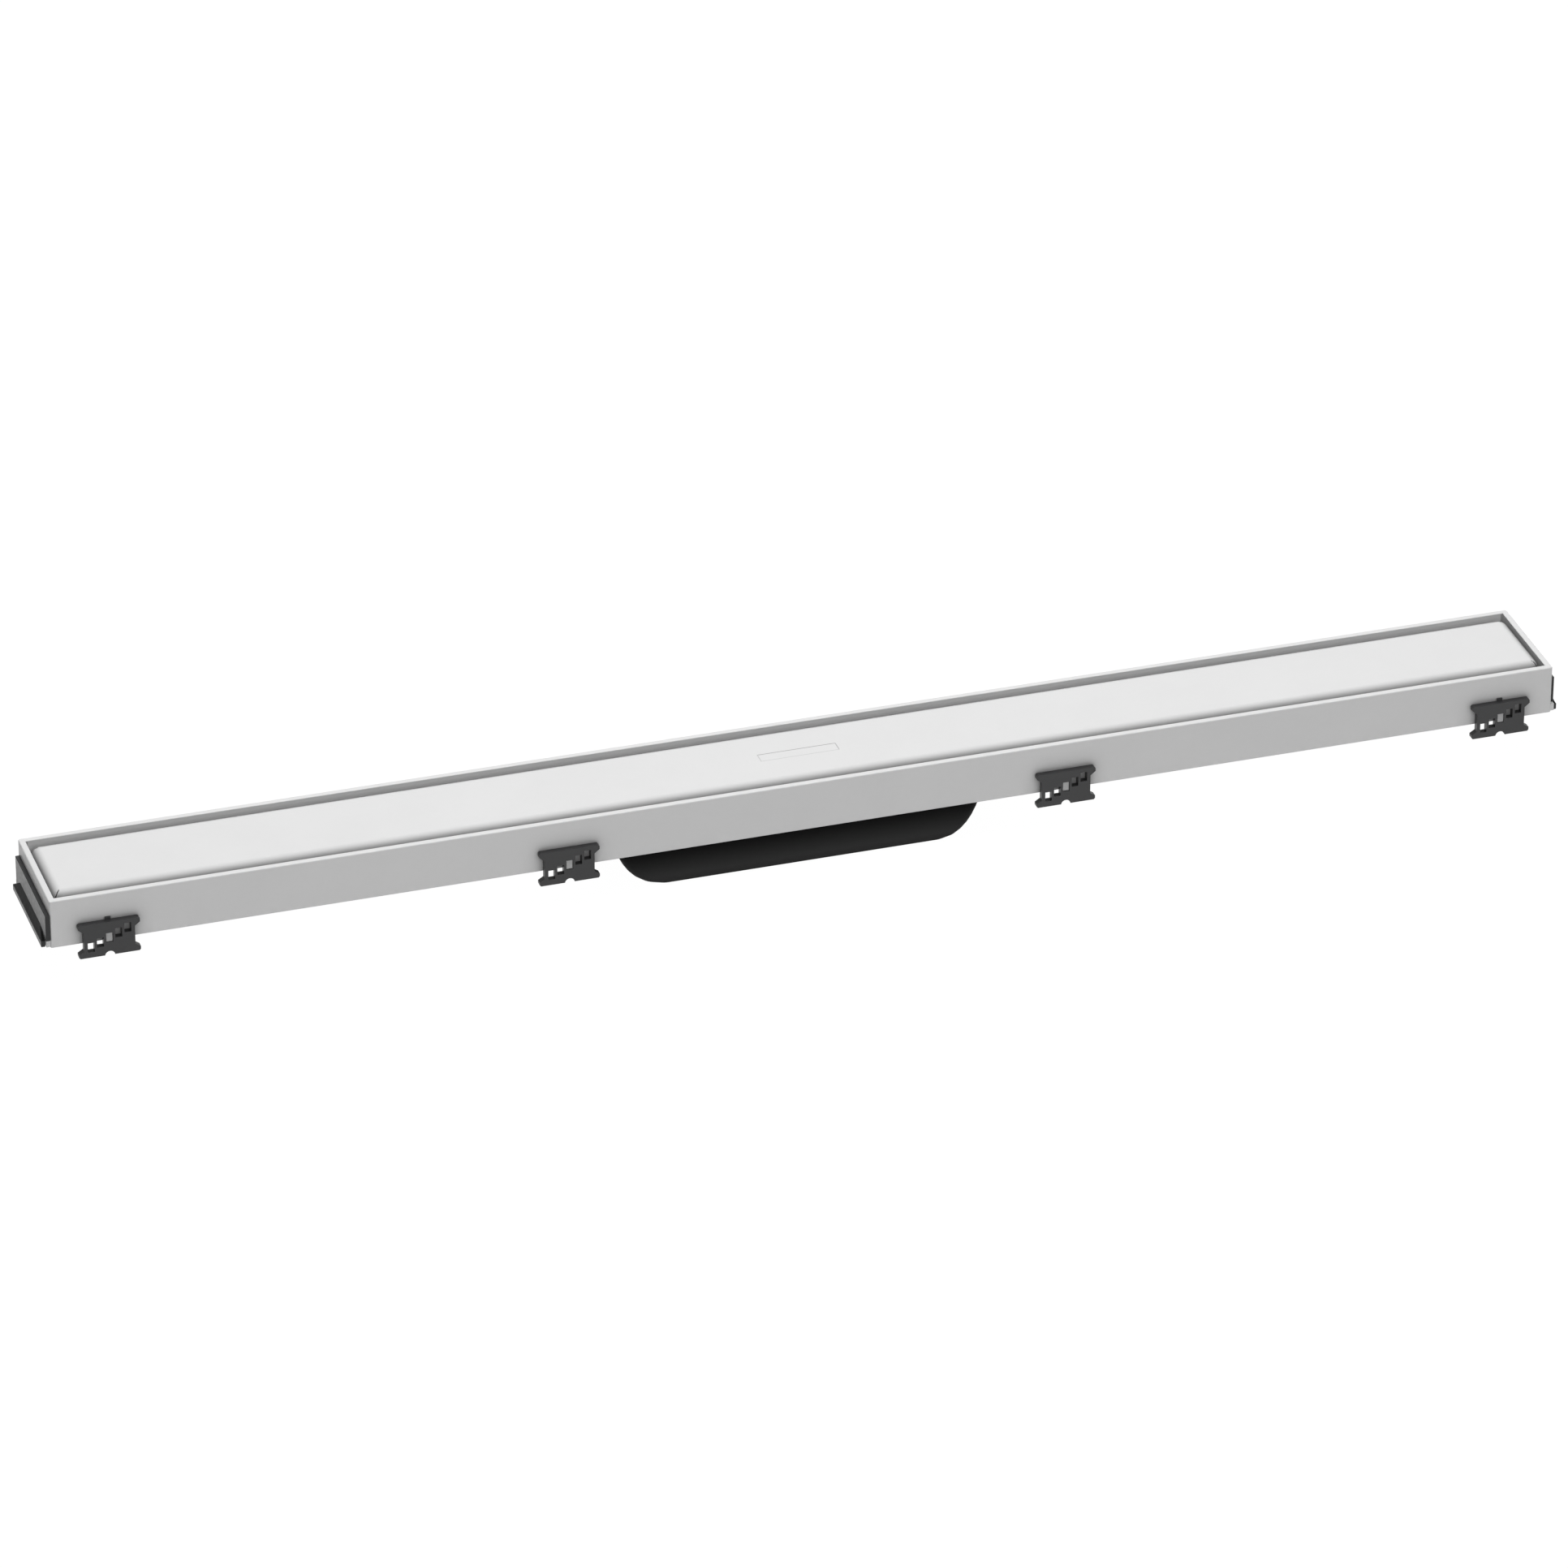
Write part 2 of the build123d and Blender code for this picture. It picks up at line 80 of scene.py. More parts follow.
def looked_at(tree):
    """One where the camera sees a thing or the drain mirrors it, otherwise nought."""
    path = tree.nodes.new("ShaderNodeLightPath")
    return arithmetic(tree, "MAXIMUM", path.outputs["Is Camera Ray"], path.outputs["Is Glossy Ray"])


def mixed(tree, share, first, second):
    """The mix of two surfaces, with the share of the second."""
    mix = tree.nodes.new("ShaderNodeMixShader")
    feed(tree, mix.inputs["Fac"], share)
    tree.links.new(first, mix.inputs[1])
    tree.links.new(second, mix.inputs[2])
    return mix.outputs[0]


def glow(tree, kind, strength):
    """A surface or a background that gives white light by itself."""
    source = tree.nodes.new(kind)
    source.inputs["Color"].default_value = white
    source.inputs["Strength"].default_value = strength
    return source.outputs[0]


def matt(tree, colour):
    """A plain matt surface."""
    surface = tree.nodes.new("ShaderNodeBsdfDiffuse")
    surface.inputs["Color"].default_value = colour
    return surface.outputs[0]


surround = bpy.data.worlds.new("studio")
bpy.context.scene.world = surround
surround.use_nodes = True
surround_tree = surround.node_tree
surround_tree.nodes.clear()
surround_out = surround_tree.nodes.new("ShaderNodeOutputWorld")
surround_dim = glow(surround_tree, "ShaderNodeBackground", surround_light)
surround_bright = glow(surround_tree, "ShaderNodeBackground", surround_seen)
surround_both = mixed(surround_tree, looked_at(surround_tree), surround_dim, surround_bright)
surround_tree.links.new(surround_both, surround_out.inputs["Surface"])

lamp_size = 3.0
overhead_power = 145.0
overhead_place = Vector((0.1, 0.2, 4.0))
front_power = 70.0
front_place = Vector((-0.3, -5.0, 2.2))


def soft_lamp(name, power, place):
    """A square area lamp that looks at the drain's middle."""
    light = bpy.data.lights.new(name, "AREA")
    light.shape = "SQUARE"
    light.size = lamp_size
    light.energy = power
    lamp = bpy.data.objects.new(name, light)
    lamp.location = place
    lamp.rotation_euler = (-place).to_track_quat("-Z", "Y").to_euler()
    lamp.visible_glossy = False
    lamp.visible_camera = False
    bpy.context.scene.collection.objects.link(lamp)


soft_lamp("overhead_lamp", overhead_power, overhead_place)
soft_lamp("front_lamp", front_power, front_place)

# The floor is pale to the light that falls on it, and almost clear white to the eye, with a
# trace of shadow. From below it can't be seen.
floor_half = 20.0
floor_colour = (0.55, 0.55, 0.55, 1.0)
floor_seen_colour = (0.98, 0.98, 0.98, 1.0)
floor_seen_glow = 1.04
floor_shadow_share = 0.05

floor_mesh = bpy.data.meshes.new("floor")
floor_shape = bmesh.new()
bmesh.ops.create_grid(floor_shape, x_segments=1, y_segments=1, size=floor_half)
floor_shape.to_mesh(floor_mesh)
floor_shape.free()
floor = bpy.data.objects.new("floor", floor_mesh)
bpy.context.scene.collection.objects.link(floor)

floor_surface = bpy.data.materials.new("pale_floor")
floor_surface.use_nodes = True
floor_tree = floor_surface.node_tree
floor_tree.nodes.clear()
floor_out = floor_tree.nodes.new("ShaderNodeOutputMaterial")
floor_glow = glow(floor_tree, "ShaderNodeEmission", floor_seen_glow)
floor_seen = mixed(floor_tree, floor_shadow_share, floor_glow, matt(floor_tree, floor_seen_colour))
floor_top = mixed(floor_tree, looked_at(floor_tree), matt(floor_tree, floor_colour), floor_seen)
floor_clear = floor_tree.nodes.new("ShaderNodeBsdfTransparent").outputs[0]
floor_from_below = floor_tree.nodes.new("ShaderNodeNewGeometry").outputs["Backfacing"]
floor_both = mixed(floor_tree, floor_from_below, floor_top, floor_clear)
floor_tree.links.new(floor_both, floor_out.inputs["Surface"])
floor_mesh.materials.append(floor_surface)


# Frame
# The white trough that holds everything: steel sheet, folded, welded at the corners and powder
# coated. The coat has a fine orange peel, and a painted highlight lightens it along the folds.
pattern_range = (0.3, 0.7)
speck_colour_share = -0.5
speck_height_share = 0.6


def new_group(name, inputs, outputs):
    """An empty node group with named sockets, and its two ends."""
    group = bpy.data.node_groups.new(name, "ShaderNodeTree")
    for socket_name, kind, value in inputs:
        socket = group.interface.new_socket(name=socket_name, in_out="INPUT", socket_type=kind)
        socket.default_value = value
    for socket_name, kind in outputs:
        group.interface.new_socket(name=socket_name, in_out="OUTPUT", socket_type=kind)
    ends = group.nodes.new("NodeGroupInput"), group.nodes.new("NodeGroupOutput")
    return group, ends[0].outputs, ends[1].inputs


def put_group(tree, group, values):
    """Places a node group in a material with its own values."""
    node = tree.nodes.new("ShaderNodeGroup")
    node.node_tree = group
    for socket_name, value in values.items():
        node.inputs[socket_name].default_value = value
    return node


def place_on_piece(tree):
    """The place of a surface point on its own piece."""
    return tree.nodes.new("ShaderNodeTexCoord").outputs["Object"]


def taken_apart(tree, vector):
    """The three values of a place or a direction."""
    apart = tree.nodes.new("ShaderNodeSeparateXYZ")
    tree.links.new(vector, apart.inputs["Vector"])
    return apart.outputs


def mapped_noise(tree, vector, scale, detail, roughness):
    """A noise pattern over the places that it is given."""
    noise = tree.nodes.new("ShaderNodeTexNoise")
    feed(tree, noise.inputs["Scale"], scale)
    noise.inputs["Detail"].default_value = detail
    noise.inputs["Roughness"].default_value = roughness
    tree.links.new(vector, noise.inputs["Vector"])
    return noise.outputs["Fac"]


def between(tree, value, low, high):
    """Maps a pattern from its middle range onto low to high."""
    spread = tree.nodes.new("ShaderNodeMapRange")
    spread.inputs["From Min"].default_value = pattern_range[0]
    spread.inputs["From Max"].default_value = pattern_range[1]
    tree.links.new(value, spread.inputs["Value"])
    feed(tree, spread.inputs["To Min"], low)
    feed(tree, spread.inputs["To Max"], high)
    return spread.outputs["Result"]


def scaled(tree, colour, shade):
    """A colour multiplied by a shade."""
    tinted = tree.nodes.new("ShaderNodeVectorMath")
    tinted.operation = "SCALE"
    tree.links.new(colour, tinted.inputs[0])
    tree.links.new(shade, tinted.inputs["Scale"])
    return tinted.outputs["Vector"]


def skin_group():
    """Colour, roughness and height of a coated or moulded skin with cloudy drift and fine grain."""
    group, given, result = new_group(
        "fine_skin",
        (
            ("Colour", "NodeSocketColor", (0.8, 0.8, 0.8, 1.0)),
            ("Fold Colour", "NodeSocketColor", (0.8, 0.8, 0.8, 1.0)),
            ("Fold", "NodeSocketFloat", 0.0),
            ("Colour Drift", "NodeSocketFloat", 0.02),
            ("Roughness", "NodeSocketFloat", 0.5),
            ("Roughness Drift", "NodeSocketFloat", 0.05),
            ("Grain Scale", "NodeSocketFloat", 900.0),
        ),
        (
            ("Colour", "NodeSocketColor"),
            ("Roughness", "NodeSocketFloat"),
            ("Height", "NodeSocketFloat"),
        ),
    )
    place = place_on_piece(group)
    cloud = mapped_noise(group, place, scale=22.0, detail=3.0, roughness=0.55)
    fine = mapped_noise(group, place, scale=given["Grain Scale"], detail=2.0, roughness=0.5)
    speck = mapped_noise(group, place, scale=260.0, detail=4.0, roughness=0.6)

    drift_low = arithmetic(group, "SUBTRACT", 1.0, given["Colour Drift"])
    speck_low = arithmetic(group, "MULTIPLY", given["Colour Drift"], speck_colour_share)
    drift = between(group, cloud, low=drift_low, high=1.0)
    specked = arithmetic(group, "ADD", drift, between(group, speck, low=speck_low, high=0.0))
    # Painted highlight: the fold colour, lighter than the skin, is mixed in along folds and edges.
    highlighted = group.nodes.new("ShaderNodeMix")
    highlighted.data_type = "RGBA"
    group.links.new(given["Fold"], highlighted.inputs["Factor"])
    group.links.new(given["Colour"], highlighted.inputs["A"])
    group.links.new(given["Fold Colour"], highlighted.inputs["B"])
    group.links.new(scaled(group, highlighted.outputs["Result"], specked), result["Colour"])

    rough_low = arithmetic(group, "MULTIPLY", given["Roughness Drift"], -1.0)
    rough_drift = between(group, speck, low=rough_low, high=given["Roughness Drift"])
    group.links.new(arithmetic(group, "ADD", given["Roughness"], rough_drift), result["Roughness"])
    coarse = arithmetic(group, "MULTIPLY", speck, speck_height_share)
    group.links.new(arithmetic(group, "ADD", fine, coarse), result["Height"])
    return group


def edge_round_and_highlight_group():
    """How near a point is to a fold or edge, for a painted highlight, and its normal a little
    rounded.
    """
    group, given, result = new_group(
        "edge_round_and_highlight",
        (("Width", "NodeSocketFloat", 0.0005), ("Strength", "NodeSocketFloat", 2.2)),
        (("Fold", "NodeSocketFloat"), ("Normal", "NodeSocketVector")),
    )
    bevel = group.nodes.new("ShaderNodeBevel")
    bevel.samples = 4
    group.links.new(given["Width"], bevel.inputs["Radius"])
    flat = group.nodes.new("ShaderNodeNewGeometry")
    agree = group.nodes.new("ShaderNodeVectorMath")
    agree.operation = "DOT_PRODUCT"
    group.links.new(bevel.outputs["Normal"], agree.inputs[0])
    group.links.new(flat.outputs["Normal"], agree.inputs[1])
    away = arithmetic(group, "SUBTRACT", 1.0, agree.outputs["Value"])
    fold = arithmetic(group, "MULTIPLY", away, given["Strength"])
    fold.node.use_clamp = True
    group.links.new(fold, result["Fold"])
    group.links.new(bevel.outputs["Normal"], result["Normal"])
    return group


def painted_crevice_shade_group():
    """A painted shade that darkens a surface where another surface stands close by."""
    group, given, result = new_group(
        "painted_crevice_shade",
        (
            ("Reach", "NodeSocketFloat", 0.01),
            ("Closed", "NodeSocketFloat", 0.35),
            ("Open", "NodeSocketFloat", 1.0),
            ("Darkest", "NodeSocketFloat", 0.5),
        ),
        (("Shade", "NodeSocketFloat"),),
    )
    nearness = group.nodes.new("ShaderNodeAmbientOcclusion")
    nearness.samples = 8
    group.links.new(given["Reach"], nearness.inputs["Distance"])
    painted_shade = group.nodes.new("ShaderNodeMapRange")
    group.links.new(given["Closed"], painted_shade.inputs["From Min"])
    group.links.new(given["Open"], painted_shade.inputs["From Max"])
    group.links.new(given["Darkest"], painted_shade.inputs["To Min"])
    group.links.new(nearness.outputs["AO"], painted_shade.inputs["Value"])
    group.links.new(painted_shade.outputs["Result"], result["Shade"])
    return group


def level_shade_group():
    """A shade that goes from one value to another between two heights on a piece."""
    group, given, result = new_group(
        "level_shade",
        (
            ("High", "NodeSocketFloat", 1.0),
            ("Low", "NodeSocketFloat", 0.0),
            ("High Shade", "NodeSocketFloat", 1.0),
            ("Low Shade", "NodeSocketFloat", 1.0),
        ),
        (("Shade", "NodeSocketFloat"),),
    )
    slope = group.nodes.new("ShaderNodeMapRange")
    group.links.new(given["High"], slope.inputs["From Min"])
    group.links.new(given["Low"], slope.inputs["From Max"])
    group.links.new(given["High Shade"], slope.inputs["To Min"])
    group.links.new(given["Low Shade"], slope.inputs["To Max"])
    group.links.new(taken_apart(group, place_on_piece(group))["Z"], slope.inputs["Value"])
    group.links.new(slope.outputs["Result"], result["Shade"])
    return group


fine_skin = skin_group()
edge_round_and_highlight = edge_round_and_highlight_group()
painted_crevice_shade = painted_crevice_shade_group()
level_shade = level_shade_group()


def skin_material(
    name, colour, fold_colour, roughness, specular, grain_scale, grain_height, fold_width
):
    """A material with the fine skin on it, its edges a little rounded and lit by a painted
    highlight.
    """
    material = bpy.data.materials.new(name)
    material.use_nodes = True
    tree = material.node_tree
    shader = tree.nodes["Principled BSDF"]
    shader.inputs["Specular IOR Level"].default_value = specular
    skin_values = {
        "Colour": colour,
        "Fold Colour": fold_colour,
        "Roughness": roughness,
        "Grain Scale": grain_scale,
    }
    skin = put_group(tree, fine_skin, skin_values)
    edge = put_group(tree, edge_round_and_highlight, {"Width": fold_width})
    tree.links.new(edge.outputs["Fold"], skin.inputs["Fold"])
    bump = tree.nodes.new("ShaderNodeBump")
    bump.inputs["Distance"].default_value = grain_height
    tree.links.new(skin.outputs["Height"], bump.inputs["Height"])
    tree.links.new(edge.outputs["Normal"], bump.inputs["Normal"])
    tree.links.new(skin.outputs["Colour"], shader.inputs["Base Color"])
    tree.links.new(skin.outputs["Roughness"], shader.inputs["Roughness"])
    tree.links.new(bump.outputs["Normal"], shader.inputs["Normal"])
    return material


def shade_colour(material, shade):
    """Multiplies a material's colour by a shade."""
    tree = material.node_tree
    colour_in = tree.nodes["Principled BSDF"].inputs["Base Color"]
    tree.links.new(scaled(tree, colour_in.links[0].from_socket, shade), colour_in)


def dress(node_name, material):
    """Gives a piece of the drain its finish."""
    mesh = nodes_of_drain[node_name].data
    mesh.materials.clear()
    mesh.materials.append(material)


powder_coat = skin_material(
    "white_powder_coat",
    colour=(0.80, 0.80, 0.80, 1.0),
    fold_colour=(0.84, 0.84, 0.84, 1.0),
    roughness=0.42,
    specular=0.35,
    grain_scale=900.0,
    grain_height=0.00002,
    fold_width=0.0006,
)

# Painted shade darkens the coat behind the clips, on the lugs, down the ends of the channel and
# on the long walls round the clips. The long inner legs carry painted shade near the rim and
# painted light towards their foot.
clip_middles = (0.5561, 0.1985)
clip_half = 0.0197
clip_top_depth = 0.0235
wall_face = 0.0485
lug_face = 0.0497
behind_clip_shade = 0.34
lug_shade = 0.65
wall_painted_shade = {"Reach": 0.016, "Open": 1.0, "Darkest": 0.33}


def within(tree, value, low, high):
    """One where a value lies between two bounds, otherwise nought."""
    above = arithmetic(tree, "GREATER_THAN", value, low)
    return arithmetic(tree, "MULTIPLY", above, arithmetic(tree, "LESS_THAN", value, high))


def all_of(tree, *masks):
    """One where every mask is one."""
    product = masks[0]
    for mask in masks[1:]:
        product = arithmetic(tree, "MULTIPLY", product, mask)
    return product


def shade_where(tree, mask, shade):
    """A shade where a mask is one."""
    depth = arithmetic(tree, "SUBTRACT", 1.0, shade)
    return arithmetic(tree, "SUBTRACT", 1.0, arithmetic(tree, "MULTIPLY", mask, depth))


def wall_shades(tree, along, across, level):
    """The painted shades of the long walls: behind the clips, on the lugs and round the clips."""
    outer = within(tree, along, clip_middles[0] - clip_half, clip_middles[0] + clip_half)
    inner = within(tree, along, clip_middles[1] - clip_half, clip_middles[1] + clip_half)
    low_down = arithmetic(tree, "LESS_THAN", level, rim_level - clip_top_depth)
    covered = all_of(tree, arithmetic(tree, "MAXIMUM", outer, inner), low_down)
    on_wall = within(tree, across, wall_face, lug_face)
    behind_clip = all_of(tree, covered, on_wall)
    open_wall = arithmetic(tree, "SUBTRACT", on_wall, behind_clip)
    lug = all_of(tree, covered, arithmetic(tree, "GREATER_THAN", across, lug_face))
    painted_shade = put_group(tree, painted_crevice_shade, wall_painted_shade).outputs["Shade"]
    return [
        shade_where(tree, behind_clip, behind_clip_shade),
        shade_where(tree, lug, lug_shade),
        shade_where(tree, open_wall, painted_shade),
    ]


rim_depth = 0.0007
channel_half_width = 0.0448
end_leg_range = (0.5935, 0.5955)
end_leg_shade = 0.57
inner_leg_behind = 0.0435
inner_leg_depth = 0.015
inner_leg_slope = {
    "High": rim_level - 0.001,
    "Low": rim_level - 0.0065,
    "High Shade": 0.93,
    "Low Shade": 1.22,
}


def channel_shades(tree, along, across, level):
    """The painted shade and light inside the channel: on its end legs and on its long inner legs.
    """
    under_rim = arithmetic(tree, "LESS_THAN", level, rim_level - rim_depth)
    in_channel = arithmetic(tree, "LESS_THAN", across, channel_half_width)
    end_leg = all_of(tree, under_rim, in_channel, within(tree, along, *end_leg_range))
    near_rim = within(tree, level, rim_level - inner_leg_depth, rim_level - rim_depth)
    leg_band = within(tree, across, inner_leg_behind, channel_half_width)
    between_ends = arithmetic(tree, "LESS_THAN", along, end_leg_range[0])
    inner_leg = all_of(tree, near_rim, leg_band, between_ends)
    slope = put_group(tree, level_shade, inner_leg_slope).outputs["Shade"]
    return [shade_where(tree, end_leg, end_leg_shade), shade_where(tree, inner_leg, slope)]


powder_tree = powder_coat.node_tree
frame_place = taken_apart(powder_tree, place_on_piece(powder_tree))
frame_along = arithmetic(powder_tree, "ABSOLUTE", frame_place["X"])
frame_across = arithmetic(powder_tree, "ABSOLUTE", frame_place["Y"])
for shades in (wall_shades, channel_shades):
    for shade in shades(powder_tree, frame_along, frame_across, frame_place["Z"]):
        shade_colour(powder_coat, shade)
dress("frame", powder_coat)


# Cover plate
# One steel sheet with rolled edges that lies loose on the pads of the bridges. It has the
# frame's white powder coat, a little smoother, because it is walked on and wiped.
cover_coat = skin_material(
    "cover_powder_coat",
    colour=(0.80, 0.80, 0.80, 1.0),
    fold_colour=(0.83, 0.83, 0.83, 1.0),
    roughness=0.38,
    specular=0.35,
    grain_scale=1100.0,
    grain_height=0.000015,
    fold_width=0.0004,
)
# A painted shade darkens the cover where other surfaces stand close by.
cover_painted_shade = {"Reach": 0.010, "Open": 0.95, "Darkest": 0.6}
cover_tree = cover_coat.node_tree
shade_colour(cover_coat, put_group(cover_tree, painted_crevice_shade, cover_painted_shade).outputs["Shade"])

# The rolled edges carry a painted shade towards the water slots, and a seam climbs each corner.
cover_half_length = 0.59455
cover_half_width = 0.03895
cover_corner = 0.0082
painted_edge_shade_reach = 0.0085
painted_edge_shade_darkest = 0.52
seam_half_width = 0.0006
seam_start = 0.0018
seam_shade = 0.2


def beyond(tree, half_length, half_width):
    """How far a point of the cover lies past a half length and a half width."""
    place = taken_apart(tree, place_on_piece(tree))
    along = arithmetic(tree, "ABSOLUTE", place["X"])
    across = arithmetic(tree, "ABSOLUTE", place["Y"])
    past_length = arithmetic(tree, "SUBTRACT", along, half_length)
    return past_length, arithmetic(tree, "SUBTRACT", across, half_width)


def painted_edge_shade(tree):
    """The painted shade on the rolled edges."""
    past = beyond(tree, cover_half_length - painted_edge_shade_reach, cover_half_width - painted_edge_shade_reach)
    painted_shade = tree.nodes.new("ShaderNodeMapRange")
    painted_shade.interpolation_type = "SMOOTHSTEP"
    painted_shade.inputs["From Min"].default_value = 0.0
    painted_shade.inputs["From Max"].default_value = painted_edge_shade_reach
    painted_shade.inputs["To Min"].default_value = 1.0
    painted_shade.inputs["To Max"].default_value = painted_edge_shade_darkest
    tree.links.new(arithmetic(tree, "MAXIMUM", *past), painted_shade.inputs["Value"])
    return painted_shade.outputs["Result"]


def corner_seam(tree):
    """The shade of the seam between the folds, which runs up each corner on its diagonal."""
    past = beyond(tree, cover_half_length - cover_corner, cover_half_width - cover_corner)
    off_diagonal = arithmetic(tree, "ABSOLUTE", arithmetic(tree, "SUBTRACT", *past))
    near = arithmetic(tree, "LESS_THAN", off_diagonal, seam_half_width)
    outside = arithmetic(tree, "GREATER_THAN", arithmetic(tree, "MINIMUM", *past), seam_start)
    return shade_where(tree, all_of(tree, near, outside), seam_shade)


shade_colour(cover_coat, painted_edge_shade(cover_tree))
shade_colour(cover_coat, corner_seam(cover_tree))

# The bare field in the middle of the cover is bordered by a fine pressed line.
field_half_length = 0.03125
field_half_width = 0.0051
field_line_width = 0.00022
field_line_shade = 0.72


def field_line(tree):
    """The shade of the line round the bare field, from the distance to the field's edge."""
    past = beyond(tree, field_half_length, field_half_width)
    off_line = arithmetic(tree, "ABSOLUTE", arithmetic(tree, "MAXIMUM", *past))
    line = tree.nodes.new("ShaderNodeMapRange")
    line.inputs["From Min"].default_value = field_line_width
    line.inputs["From Max"].default_value = 2 * field_line_width
    line.inputs["To Min"].default_value = field_line_shade
    tree.links.new(off_line, line.inputs["Value"])
    return line.outputs["Result"]


shade_colour(cover_coat, field_line(cover_tree))
dress("cover_plate", cover_coat)


# Side clips
# Eight black moulded clips with windows, pushed onto the lugs of the frame. Glass-filled
# plastic with a fine spark-eroded grain and a painted highlight along the edges.
clip_plastic = skin_material(
    "clip_plastic",
    colour=(0.030, 0.030, 0.031, 1.0),
    fold_colour=(0.05, 0.05, 0.051, 1.0),
    roughness=0.42,
    specular=0.5,
    grain_scale=1500.0,
    grain_height=0.00003,
    fold_width=0.0003,
)
clip_numbers = range(1, 5)
for row in ("front", "back"):
    for number in clip_numbers:
        dress(f"side_clip_{row}_{number}", clip_plastic)


# End clips
# A black moulded clip on each end wall, with a foot that hooks over the ledge of the frame.
# The same plastic as the side clips, with a smoother face and a duller slanted shoulder in painted
# shade.
end_plastic = skin_material(
    "end_clip_plastic",
    colour=(0.022, 0.022, 0.023, 1.0),
    fold_colour=(0.034, 0.034, 0.035, 1.0),
    roughness=0.34,
    specular=0.34,
    grain_scale=1300.0,
    grain_height=0.00002,
    fold_width=0.0003,
)
shoulder_slopes = (0.15, 0.9)
shoulder_shade = 0.1
shoulder_dullness = 0.5


def leaning_faces(tree, low, high):
    """One on faces that lean upwards, between two slopes of their normal."""
    turned = tree.nodes.new("ShaderNodeNewGeometry").outputs["True Normal"]
    return within(tree, taken_apart(tree, turned)["Z"], low, high)


end_tree = end_plastic.node_tree
shoulder = leaning_faces(end_tree, *shoulder_slopes)
# Painted shade on the shoulder's upward-leaning faces; they are also made rougher.
shade_colour(end_plastic, shade_where(end_tree, shoulder, shoulder_shade))
end_roughness = end_tree.nodes["Principled BSDF"].inputs["Roughness"]
face_roughness = end_roughness.links[0].from_socket
duller = arithmetic(end_tree, "MULTIPLY", shoulder, shoulder_dullness)
end_tree.links.new(arithmetic(end_tree, "ADD", face_roughness, duller), end_roughness)
for end in ("left", "right"):
    dress(f"end_clip_{end}", end_plastic)


# Outlet tub and trap bell
# The tub is one deep black moulding screwed up under the tray. The bell stands in it over the
# outlet. Both are dull polypropylene that hardly mirrors anything.
tub_plastic = skin_material(
    "tub_plastic",
    colour=(0.060, 0.060, 0.060, 1.0),
    fold_colour=(0.070, 0.070, 0.070, 1.0),
    roughness=0.6,
    specular=0.02,
    grain_scale=1200.0,
    grain_height=0.00003,
    fold_width=0.0004,
)

# A painted shade darkens the tub the farther it goes up under the frame.
tub_slope = {"High": 0.034, "Low": 0.006, "High Shade": 0.15, "Low Shade": 1.0}
tub_slope_curve = 2.0
tub_tree = tub_plastic.node_tree
tub_shade = put_group(tub_tree, level_shade, tub_slope).outputs["Shade"]
shade_colour(tub_plastic, arithmetic(tub_tree, "POWER", tub_shade, tub_slope_curve))
dress("outlet_tub", tub_plastic)
dress("trap_bell", tub_plastic)


# Gutter tray, bridges, clamping ring, screws and strainer
# Bare stainless steel sheet, brushed along the channel, cut and folded. The tray lies in the
# frame, the ring and its screws clamp the tub under it, and the bridges and strainer lift out.
brush_stretch = (6.0, 1500.0, 1500.0)
brush_height = 0.000008


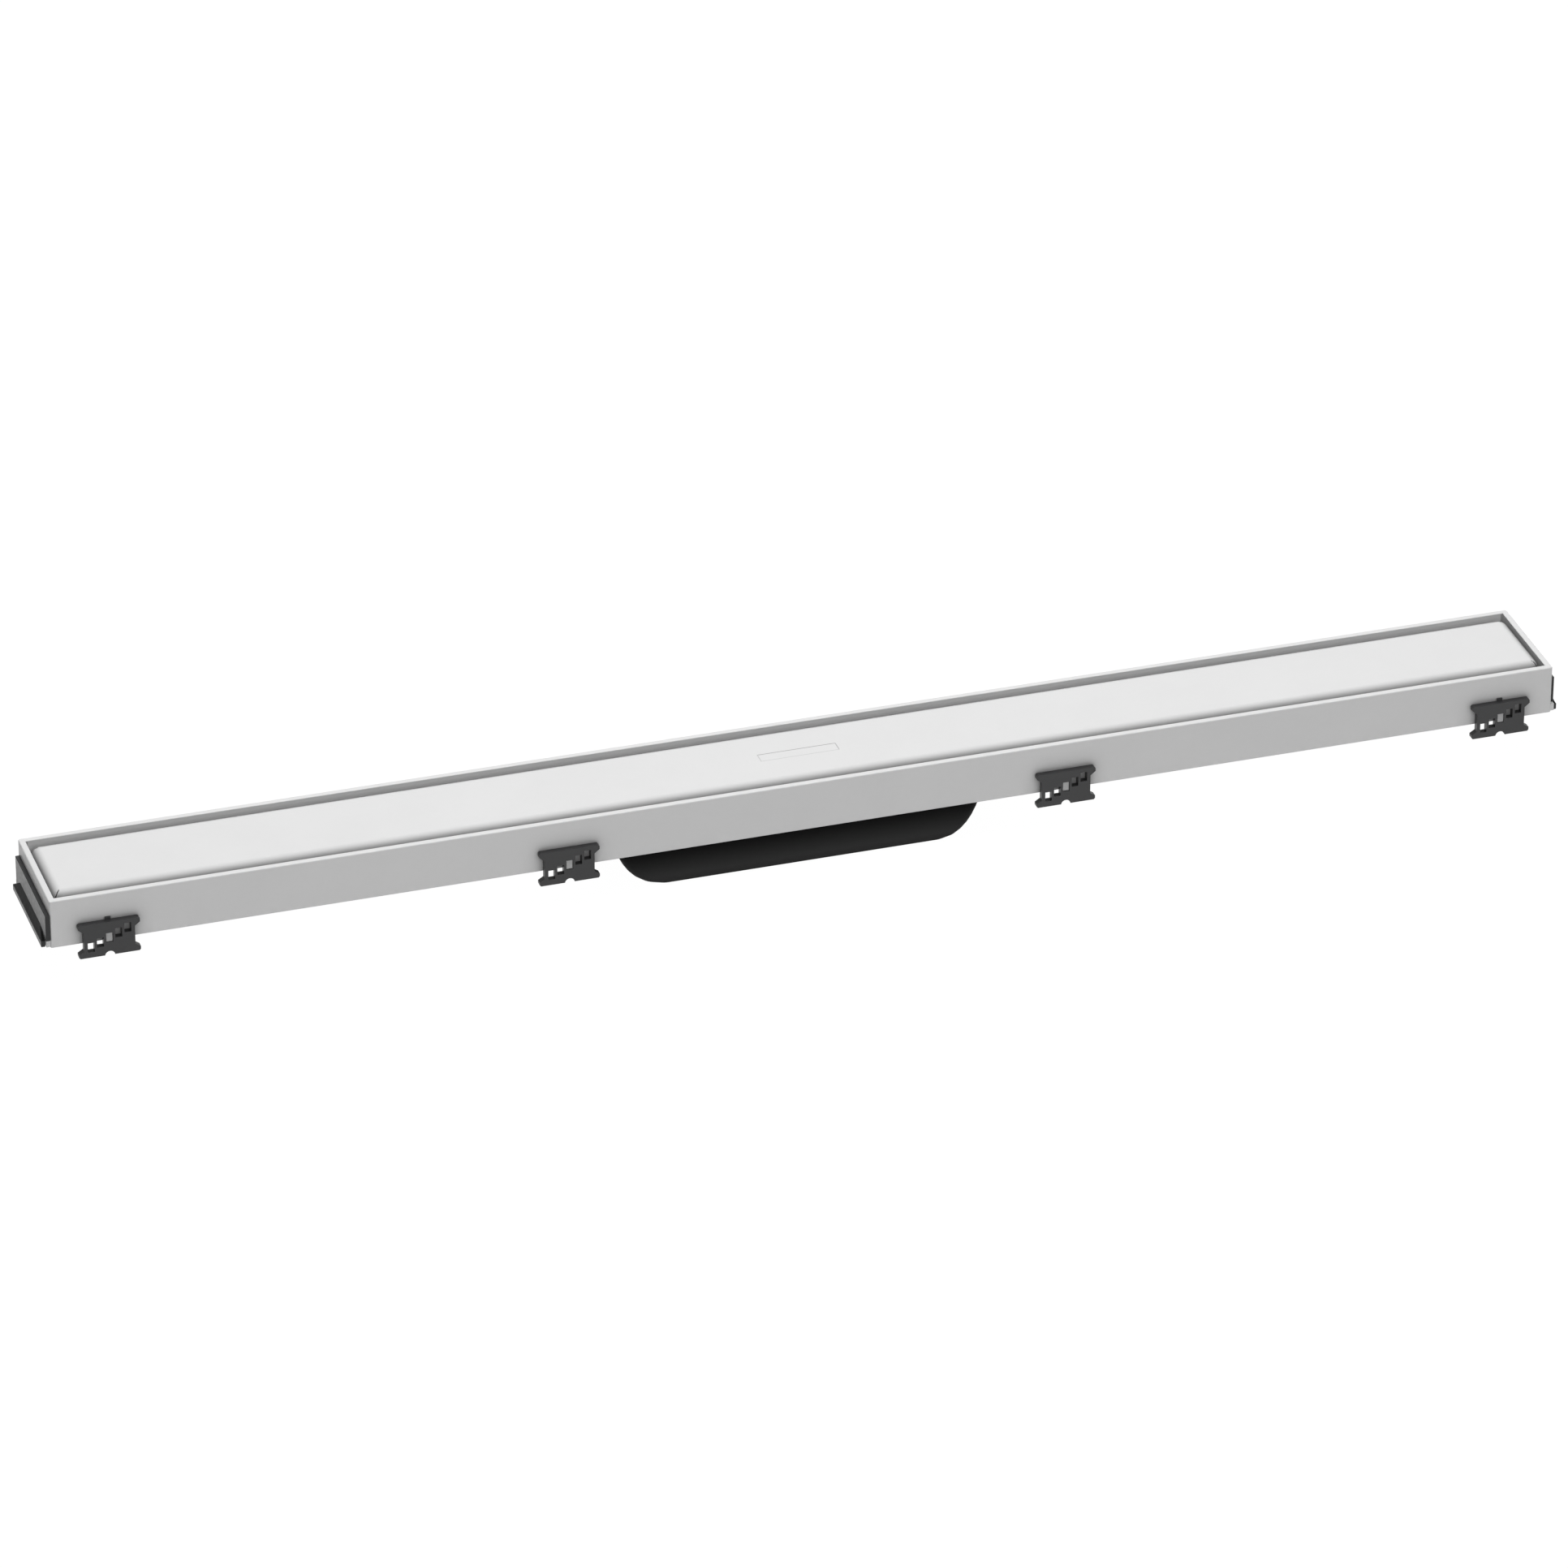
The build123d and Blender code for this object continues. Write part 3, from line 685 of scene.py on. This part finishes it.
def brushed_group():
    """Colour, roughness and height of sheet that was brushed along its length."""
    group, given, result = new_group(
        "brushed_sheet",
        (
            ("Colour", "NodeSocketColor", (0.58, 0.58, 0.57, 1.0)),
            ("Roughness", "NodeSocketFloat", 0.35),
        ),
        (
            ("Colour", "NodeSocketColor"),
            ("Roughness", "NodeSocketFloat"),
            ("Height", "NodeSocketFloat"),
        ),
    )
    place = place_on_piece(group)
    stretch = group.nodes.new("ShaderNodeMapping")
    stretch.inputs["Scale"].default_value = brush_stretch
    group.links.new(place, stretch.inputs["Vector"])
    lines = mapped_noise(group, stretch.outputs["Vector"], scale=1.0, detail=3.0, roughness=0.6)
    cloud = mapped_noise(group, place, scale=30.0, detail=2.0, roughness=0.5)
    line_shade = between(group, lines, low=0.86, high=1.06)
    cloud_shade = between(group, cloud, low=0.95, high=1.0)
    shade = arithmetic(group, "MULTIPLY", line_shade, cloud_shade)
    group.links.new(scaled(group, given["Colour"], shade), result["Colour"])
    line_dullness = between(group, lines, low=-0.08, high=0.08)
    dull = arithmetic(group, "ADD", given["Roughness"], line_dullness)
    group.links.new(dull, result["Roughness"])
    group.links.new(lines, result["Height"])
    return group


brushed_sheet = brushed_group()


def steel_material(name, colour, roughness):
    """Bare stainless steel with brush lines along the channel."""
    material = bpy.data.materials.new(name)
    material.use_nodes = True
    tree = material.node_tree
    shader = tree.nodes["Principled BSDF"]
    shader.inputs["Metallic"].default_value = 1.0
    sheet = put_group(tree, brushed_sheet, {"Colour": colour, "Roughness": roughness})
    bump = tree.nodes.new("ShaderNodeBump")
    bump.inputs["Distance"].default_value = brush_height
    tree.links.new(sheet.outputs["Height"], bump.inputs["Height"])
    tree.links.new(sheet.outputs["Colour"], shader.inputs["Base Color"])
    tree.links.new(sheet.outputs["Roughness"], shader.inputs["Roughness"])
    tree.links.new(bump.outputs["Normal"], shader.inputs["Normal"])
    return material


tray_steel = steel_material("tray_steel", colour=(0.55, 0.55, 0.54, 1.0), roughness=0.38)
fitting_steel = steel_material("fitting_steel", colour=(0.62, 0.62, 0.61, 1.0), roughness=0.3)
dress("gutter_tray", tray_steel)
for name in ("clamping_ring", "clamping_screws", "hair_strainer"):
    dress(name, fitting_steel)
bridge_numbers = range(1, 5)
for number in bridge_numbers:
    dress(f"cover_bridge_{number}", fitting_steel)


# Gasket and pads
# Black rubber: the flat gasket between tray and tub, and the pad that is stuck on each bridge
# to carry the cover without a rattle.
rubber = skin_material(
    "black_rubber",
    colour=(0.022, 0.022, 0.022, 1.0),
    fold_colour=(0.03, 0.03, 0.03, 1.0),
    roughness=0.75,
    specular=0.3,
    grain_scale=700.0,
    grain_height=0.00004,
    fold_width=0.0003,
)
dress("tub_gasket", rubber)
for number in bridge_numbers:
    dress(f"bridge_pad_{number}", rubber)


bpy.context.scene.view_settings.view_transform = "Standard"
